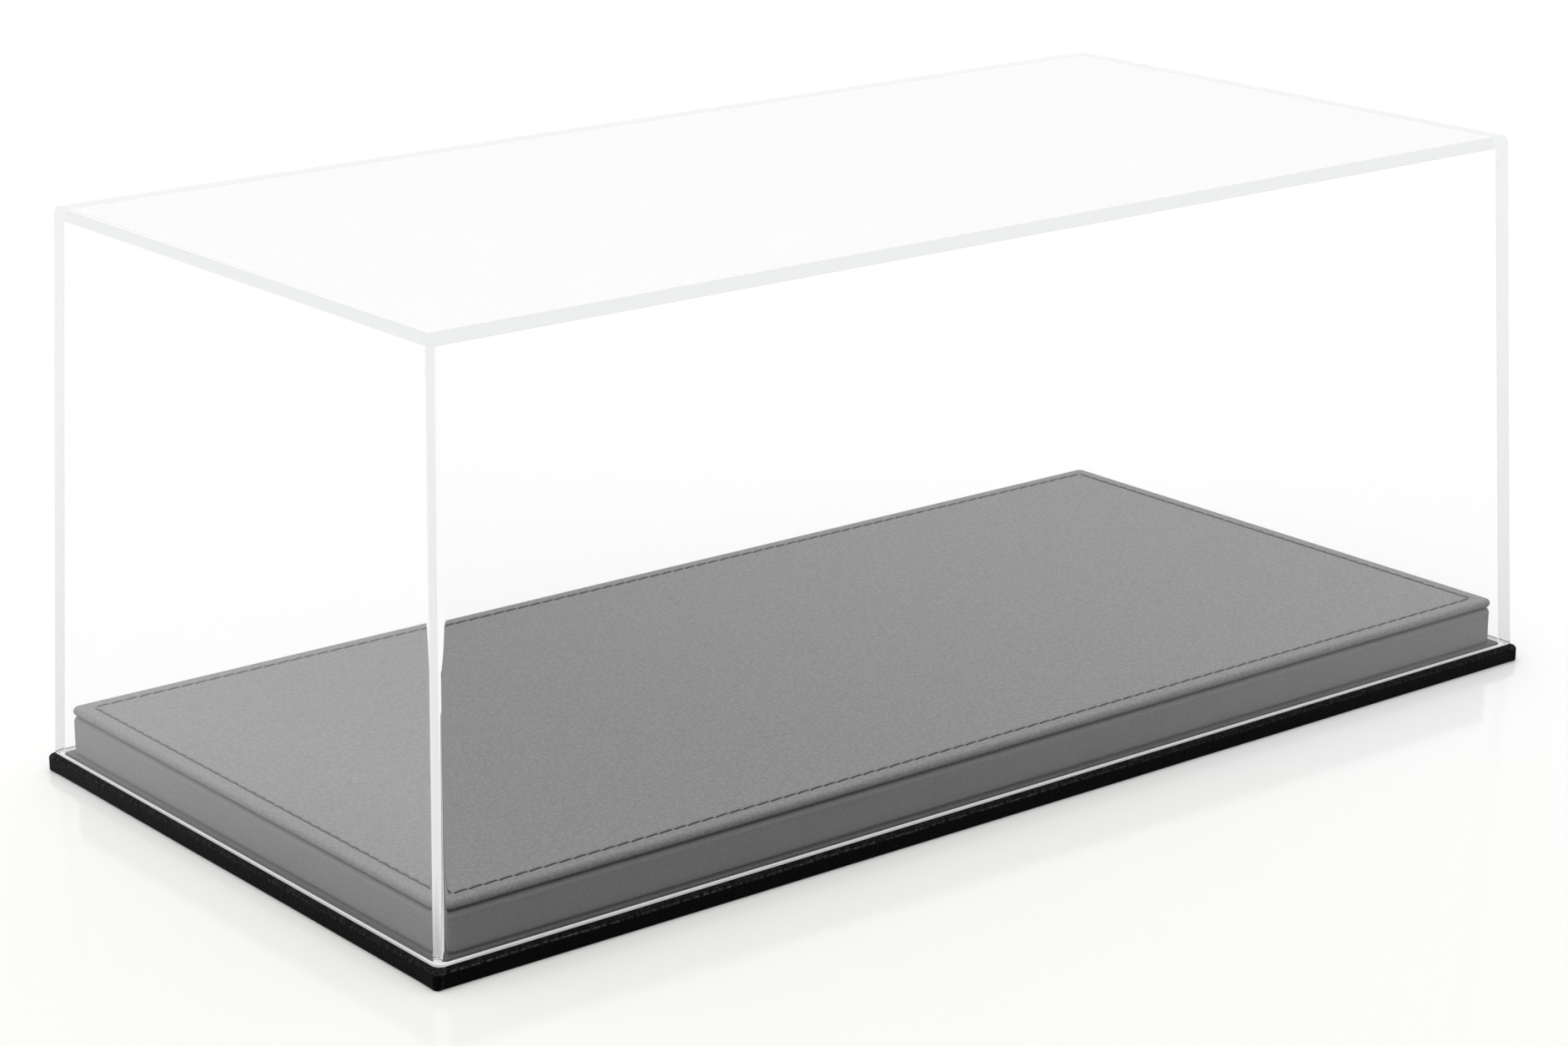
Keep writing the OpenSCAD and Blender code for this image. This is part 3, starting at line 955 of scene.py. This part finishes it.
@dataclass
class Plinth:
    """The low grey plinth: its floor sheet, side band, stitched top panel and thread."""

    floor: Material
    side: Material
    top: Material
    cord: Material
    half: Pair = (156.9, 75.8)  # half length and half width
    floor_half: Pair = (158.3, 77.2)  # half length and half width of the floor sheet
    floor_r: float = 0.6  # of its corners
    floor_z: float = 4.5  # height of its underside
    floor_t: float = 0.5  # its thickness
    band_z: float = 5.0  # height of the band's lower edge
    band_h: float = 9.2  # height of the band
    band_t: float = 0.5  # thickness of its leatherette
    band_r: float = 2.0  # of its corners
    shoulder: float = 1.5  # radius of its upper edge
    breath: float = 0.05  # height of the slow swells on its sides
    turn_in: float = 12.0  # width of the edges that are turned in
    panel_t: float = 2.1  # thickness of the top panel
    panel_r: float = 1.8  # of its corners, seen from above
    skin: float = 0.5  # thickness of its leatherette
    margin: float = 4.0  # from its edge to the stitch line
    pitch: float = 3.69  # from one stitch to the next
    stitch: float = 3.1  # length of one stitch
    thread: float = 0.72  # thickness of the thread
    slant: float = 5.0  # of each stitch, in degrees
    stitch_r: float = 1.2  # corner radius of the stitch line
    stitch_gap: float = 0.4  # from the end of a row to the corner of the line
    dip: float = 0.2  # depth that the thread draws the leatherette in
    dip_width: float = 0.42  # half width of that dip
    hole: float = 0.14  # how much deeper it is at the holes
    swells: Pair = (0.05, 0.03)  # heights of the swells outside and inside the line
    swell_out: float = 1.3  # from the line to a swell
    swell_width: float = 0.9  # half width of a swell
    ply: float = 0.13  # share by which the thread's two plies stand out
    twist: float = 2.2  # their turn in half a stitch, in radians
    flatness: float = 0.42  # half height of the thread for its thickness
    proud: float = 0.18  # how far the thread stands above the panel
    sink: float = 0.2  # how far its ends bend down

    @property
    def panel_z(self) -> float:
        """Height of the top panel's underside."""
        return self.band_z + self.band_h

    @property
    def line(self) -> Pair:
        """Half length and half width of the stitch line."""
        return self.half[0] - self.margin, self.half[1] - self.margin

    def counts(self) -> tuple[int, int]:
        """How many stitches fit a long side and a short side."""
        return tuple(int(2.0 * (side - self.stitch_r) / self.pitch) for side in self.line)

    def steps(self) -> Pair:
        """Distances between stitches along a long side and a short side, where a row fills its side."""
        return tuple(2.0 * (side - self.stitch_gap) / count for side, count in zip(self.line, self.counts()))

    def build_floor(self) -> None:
        """Builds the thin sheet round and under the plinth."""
        points = flat_sheet(self.floor_half, self.floor_r, self.floor_z, self.floor_t)
        piece = put_down("floor_leatherette", "floor_sheet", points, [self.floor])
        tuple(2.0 * h * MM for h in self.floor_half)

    def build_band(self) -> None:
        """Builds the band round the sides: up the side, over its shoulder, and turned in on the core.

        Its sides swell by a product of slow sines, and by a sine that is full at half height. Painted shade
        falls off with distance from the groove above it, and more softly from its foot.
        """
        low, high, t, r = self.band_z, self.panel_z, self.band_t, self.shoulder
        over = round_edge(r, high, 0.0, 90.0, steps=9)
        upper = np.concatenate([level(high, self.turn_in, 4.0, r + 0.2), over])
        side = upright(np.linspace(high - r - 0.1, low, 12))
        inner = np.concatenate([level(low, t), level(high - t, t, self.turn_in)])
        outline = Outline(corner=9, long_side=120, short_side=60)
        points = Loft.inset(self.half, self.band_r, np.concatenate([upper, side, inner])).points(outline)
        rows = slice(len(upper), len(upper) + len(side))
        x, y, z = np.moveaxis(points[rows], -1, 0)
        full = np.sin(np.pi * (z - low) / (high - low))
        swell = self.breath * np.sin(x / 23.0 + 1.1) * np.sin(y / 17.0 + x / 61.0) * full
        points[rows, :, :2] += swell[..., None] * outline.normals()[None]
        height = points[..., 2]
        # Painted shade below the panel's nose and at the band's foot.
        painted_shade = np.exp(-(high - height) / 0.4) + 0.25 * np.exp(-(height - low) / 1.5)
        faces = ring_faces(*points.shape[:2], closed=True)
        put_down("plinth_band", "side_band", points, [self.side], faces, marks={PAINTED_SHADE: painted_shade})

    def drawn_in(self, points: np.ndarray, out: np.ndarray) -> np.ndarray:
        """How far the thread draws the leatherette down at each point of the top.

        Across the stitch line the dip is a bell of the distance from the slanted stitch. Along it the dip is
        deepest at the two holes of each stitch. On both sides of the line a low swell follows each stitch.

        Args:
            points: array (stations, points, 3).
            out: outward directions of the ring's points.

        Returns:
            Array (stations, points) of depths.
        """
        x, y = points[..., 0], points[..., 1]
        along = x * -out[None, :, 1] + y * out[None, :, 0]
        inset = np.minimum(self.half[0] - np.abs(x), self.half[1] - np.abs(y))
        long_side = np.abs(out[None, :, 1]) > np.abs(out[None, :, 0])
        count, pitch = np.where(long_side, *self.counts()), np.where(long_side, *self.steps())
        phase = along / pitch + 0.5 * (count - 1)
        step = phase - np.round(phase)
        in_row = (phase > -0.5) & (phase < count - 0.5)
        off = inset - self.margin - np.where(in_row, step * pitch * math.tan(math.radians(self.slant)), 0.0)
        hole = bell(np.abs(step) - 0.44, 0.09) * in_row
        dip = bell(off, self.dip_width) * (self.dip + self.hole * hole)
        outside, inside = self.swells
        swell = outside * bell(off + self.swell_out, self.swell_width)
        swell = swell + inside * bell(off - self.swell_out, self.swell_width)
        return dip - swell * (0.7 + 0.3 * np.cos(2.0 * np.pi * step) * in_row)

    def build_panel(self) -> None:
        """Builds the top panel's leatherette: a half-round nose, turned under, with the stitch line drawn in.

        Rings crowd towards the stitch line on both sides of it. Painted shade fills the lower half of the
        nose.
        """
        low, high, r, t = self.panel_z, self.panel_z + self.panel_t, 0.5 * self.panel_t, self.skin
        deep, ring = min(self.half), 3.0
        close = np.array([1.6, 1.2, 0.9, 0.6, 0.4, 0.2])
        near = self.margin + np.concatenate([[3.0, 2.2], close, [0.0], -close[::-1], [-2.1]])
        top = level(high, deep, 60.0, 40.0, 22.0, 13.0, *near, 1.5, r + 0.15)
        nose = round_edge(r, high, 0.0, 180.0, steps=15)
        under = np.concatenate([level(low, ring, self.turn_in), level(low + t, self.turn_in, ring, t)])
        profile = np.concatenate([top, nose, under, level(high - t, t, ring, deep)])
        outline = Outline(corner=9, long_side=616, short_side=280)
        points = Loft.inset(self.half, self.panel_r, profile).points(outline)
        points[: len(top), :, 2] -= self.drawn_in(points[: len(top)], outline.normals())
        # Painted shade on the lower half of the nose.
        painted_shade = np.clip((low + 0.85 - points[..., 2]) / 0.5, 0.0, 1.0)
        put_down("panel_leatherette", "top_skin", points, [self.top], marks={PAINTED_SHADE: painted_shade})

    def stitch_places(self) -> np.ndarray:
        """Middles and directions of all the stitches.

        Returns:
            Array (stitches, 3) of X, Y and the angle of the thread.
        """
        rows = []
        sides = zip(self.counts() * 2, self.steps() * 2, self.line[::-1] * 2)
        for turn, (count, pitch, away) in enumerate(sides):
            along = (np.arange(count) - 0.5 * (count - 1)) * pitch
            c, s = math.cos(QUARTER * turn), math.sin(QUARTER * turn)
            angle = np.full(count, QUARTER * turn + math.radians(self.slant))
            rows.append(np.stack([c * along - s * away, s * along + c * away, angle], -1))
        return np.concatenate(rows)

    def build_stitches(self) -> None:
        """Builds the thread: each stitch is a two-ply cord that bends down into its holes.

        Along a stitch the thickness is the square root of one minus a high power of the place, so that it is
        full in the middle and pointed at the ends, and the height falls with the fourth power. Round it the
        radius is one plus a share of the cosine of twice an angle that turns along the stitch.
        """
        half = np.array([0.36, 0.72, 0.93, 1.0])
        place = np.concatenate([-half[::-1], [0.0], half])[:, None]
        around = (2.0 * np.pi * np.arange(8) / 8.0)[None, :]
        full = np.sqrt(1.0 - np.abs(place) ** 5.0)
        ply = 1.0 + self.ply * np.cos(2.0 * (around - self.twist * place))
        side = 0.5 * self.thread * full * ply * np.cos(around)
        up = self.flatness * self.thread * full * ply * np.sin(around)
        top = self.panel_z + self.panel_t + self.proud
        middle = top - self.flatness * self.thread - self.sink * np.abs(place) ** 4.0
        run = 0.6 * self.stitch * place
        x, y, angle = self.stitch_places().T[:, :, None, None]
        across = x + np.cos(angle) * run - np.sin(angle) * side
        along = y + np.sin(angle) * run + np.cos(angle) * side
        points = np.stack(np.broadcast_arrays(across, along, middle + up), -1)
        first = np.arange(len(points))[:, None, None] * side.size
        faces = (ring_faces(*side.shape)[None] + first).reshape(-1, 4)[:, ::-1]
        put_down("panel_stitches", "stitching", points, [self.cord], faces)

    def build(self) -> None:
        """Builds all of the plinth that shows, from the floor up."""
        self.build_floor()
        self.build_band()
        self.build_panel()
        self.build_stitches()


@dataclass
class Studio:
    """The white floor, the soft light and the camera. Places on the floor are in metres."""

    place: Triple = (-546.64, -676.69, 313.90)  # the camera's place
    azimuth: float = -38.506  # its direction round the case, in degrees
    elevation: float = 16.993  # its height above the horizon, in degrees
    roll: float = -0.155  # its tilt, in degrees
    lens: float = 87.522  # its focal length
    sensor: float = 36.0  # width of its sensor
    reach: Pair = (0.01, 50.0)  # nearest and farthest that it sees, in metres
    low: float = 0.3  # brightness of the sky at the horizon
    high: float = 1.5  # how much brighter it is overhead
    left: float = 0.2  # how much brighter it is on the left
    back: float = 0.2  # how much brighter it is behind the case
    overhead: Pair = (0.45, 0.95)  # heights over which the seen sky turns greyer
    zenith: Colour = (0.97, 0.972, 0.975)  # of the seen sky overhead
    size: float = 6.0  # half width of the floor, in metres
    bounce: float = 0.35  # brightness of the floor for light that it gives back
    near: Colour = (0.945, 0.948, 0.92)  # of the floor nearest the camera
    facing: Pair = (0.62, 0.78)  # direction away from the camera along the floor
    nearness: Pair = (-0.2, 0.08)  # places along it over which the floor turns white
    front: float = 0.15  # brightness of the mirrored floor in front of the case
    front_ends: Pair = (-0.093, -0.083)  # Y over which that ends
    left_dim: float = 0.55  # how much dimmer it is by the left end
    left_begins: Pair = (-0.235, -0.175)  # X over which that begins
    left_ends: Pair = (-0.02, 0.12)  # Y over which most of that ends
    right_pale: float = 0.9  # how much paler it is to the right
    right_begins: Pair = (-0.08, 0.25)  # X over which that begins
    polish: float = 0.12  # roughness of the floor
    shine: float = 0.2  # strength of its reflections
    bounces: int = 240  # times that light may turn inside the cover's edges
    films: int = 24  # films that it may pass

    def build_camera(self) -> None:
        """Makes the camera and gives it to the scene."""
        lens = bpy.data.cameras.new("camera")
        lens.lens, lens.sensor_width, lens.sensor_fit = self.lens, self.sensor, "HORIZONTAL"
        lens.clip_start, lens.clip_end = self.reach
        camera = bpy.data.objects.new("camera", lens)
        a, e = math.radians(self.azimuth), math.radians(self.elevation)
        back = Vector((math.sin(a) * math.cos(e), -math.cos(a) * math.cos(e), math.sin(e)))
        camera.rotation_mode = "QUATERNION"
        camera.location = Vector(self.place) * MM
        turn = Quaternion((0.0, 0.0, 1.0), math.radians(self.roll))
        camera.rotation_quaternion = (-back).to_track_quat("-Z", "Y") @ turn
        bpy.context.scene.collection.objects.link(camera)
        bpy.context.scene.camera = camera

    def build_world(self) -> None:
        """Makes the sky: brighter overhead for the light that falls on things, and white where it is seen."""
        world = bpy.data.worlds.new("studio")
        bpy.context.scene.world = world
        tree = ShaderTree(world)
        across, along, rise = tree.axes(tree.node("ShaderNodeTexCoord").outputs["Generated"])
        rise = rise.at_least(0.0)
        lit = self.low - across * self.left + along * self.back + rise * rise * self.high
        seen = tree.tint(rise.ramp(*self.overhead), WHITE, self.zenith)
        camera, glossy, passing = tree.path("Is Camera Ray", "Is Glossy Ray", "Is Transmission Ray")
        skies = ((*WHITE, 1.0), lit.at_least(0.0)), (seen, 1.0)
        light, view = (tree.node("ShaderNodeBackground", None, {"Color": c, "Strength": s}) for c, s in skies)
        tree.show(tree.mixed(camera.at_least(glossy).at_least(passing), light, view))

    def floor_finish(self) -> Material:
        """Makes the glossy white floor, which gives back less light than it shows, to keep sides in shade.
        Where it is mirrored, it is darker in front of the case and by its left end: painted shade.

        Returns:
            The material.
        """
        tree = ShaderTree(bpy.data.materials.new("studio_floor"))
        names = ("Camera", "Glossy", "Transmission", "Reflection")
        camera, glossy, passing, mirror = tree.path(*(f"Is {name} Ray" for name in names))
        across, along, _ = tree.axes(tree.places())
        # Painted shade in the mirrored floor, in front of the case and by its left end.
        side = across.ramp(*self.left_begins) * (1.0 - along.ramp(*self.left_ends) * 0.8) * self.left_dim
        pale = along.ramp(*self.front_ends) * (1.0 - side)
        pale = pale.at_least(across.ramp(*self.right_begins) * self.right_pale).at_least(1.0 - mirror)
        shown = tree.tint(pale, (self.front,) * 3, WHITE)
        colour = tree.tint(glossy.at_least(passing), (self.bounce,) * 3, shown)
        deep = (across * self.facing[0] + along * self.facing[1]).ramp(*self.nearness)
        colour = tree.tint(camera, colour, tree.tint(deep, self.near, WHITE))
        gloss = dict(Roughness=self.polish, Specular_IOR_Level=self.shine)
        return tree.show(tree.principled(Base_Color=colour, **gloss))

    def build_floor(self) -> None:
        """Makes the floor, a flat square that isn't part of the case."""
        mesh = bpy.data.meshes.new("studio_floor")
        s = self.size
        mesh.from_pydata([(-s, -s, 0.0), (s, -s, 0.0), (s, s, 0.0), (-s, s, 0.0)], [], [(0, 1, 2, 3)])
        mesh.materials.append(self.floor_finish())
        floor = bpy.data.objects.new("studio_floor", mesh)
        bpy.context.scene.collection.objects.link(floor)

    def build(self) -> None:
        """Makes the camera, sky and floor, and lets light turn in the cover's edges as often as it needs."""
        self.build_camera()
        self.build_world()
        self.build_floor()
        scene = bpy.context.scene
        scene.view_settings.view_transform = "Standard"
        scene.cycles.max_bounces = self.bounces
        scene.cycles.glossy_bounces = self.bounces
        scene.cycles.transmission_bounces = self.bounces
        scene.cycles.transparent_max_bounces = self.films


def dress(frame: dict, node: str, finish: Material) -> None:
    """Gives a CAD node that is kept its own material.

    Args:
        node: the node's name.
        finish: its material.
    """
    mesh = frame["nodes"][node].data
    mesh.materials.clear()
    mesh.materials.append(finish)
    log.info("%s: %s", node, finish.name)


def main() -> None:
    """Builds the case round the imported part."""
    logging.basicConfig(level=logging.INFO, format="%(message)s")
    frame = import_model()
    Studio().build()

    made = finishes()
    Base(made["pebbled_black"], made["matted_felt"]).build()
    Plinth(made["grey_in_painted_shade"], made["taut_grey"], made["pebbled_grey"], made["twisted_thread"]).build()
    Cover(made["polished_acrylic"], made["sawn_acrylic"]).build()
    for finish, nodes in (
        ("raw_fibreboard", ("base_board", "plinth_core")),
        ("plain_card", ("packing_card", "top_card")),
        ("plated_steel", ("plinth_screws",)),
    ):
        for node in nodes:
            dress(frame, node, made[finish])


if __name__ == "__main__":
    main()
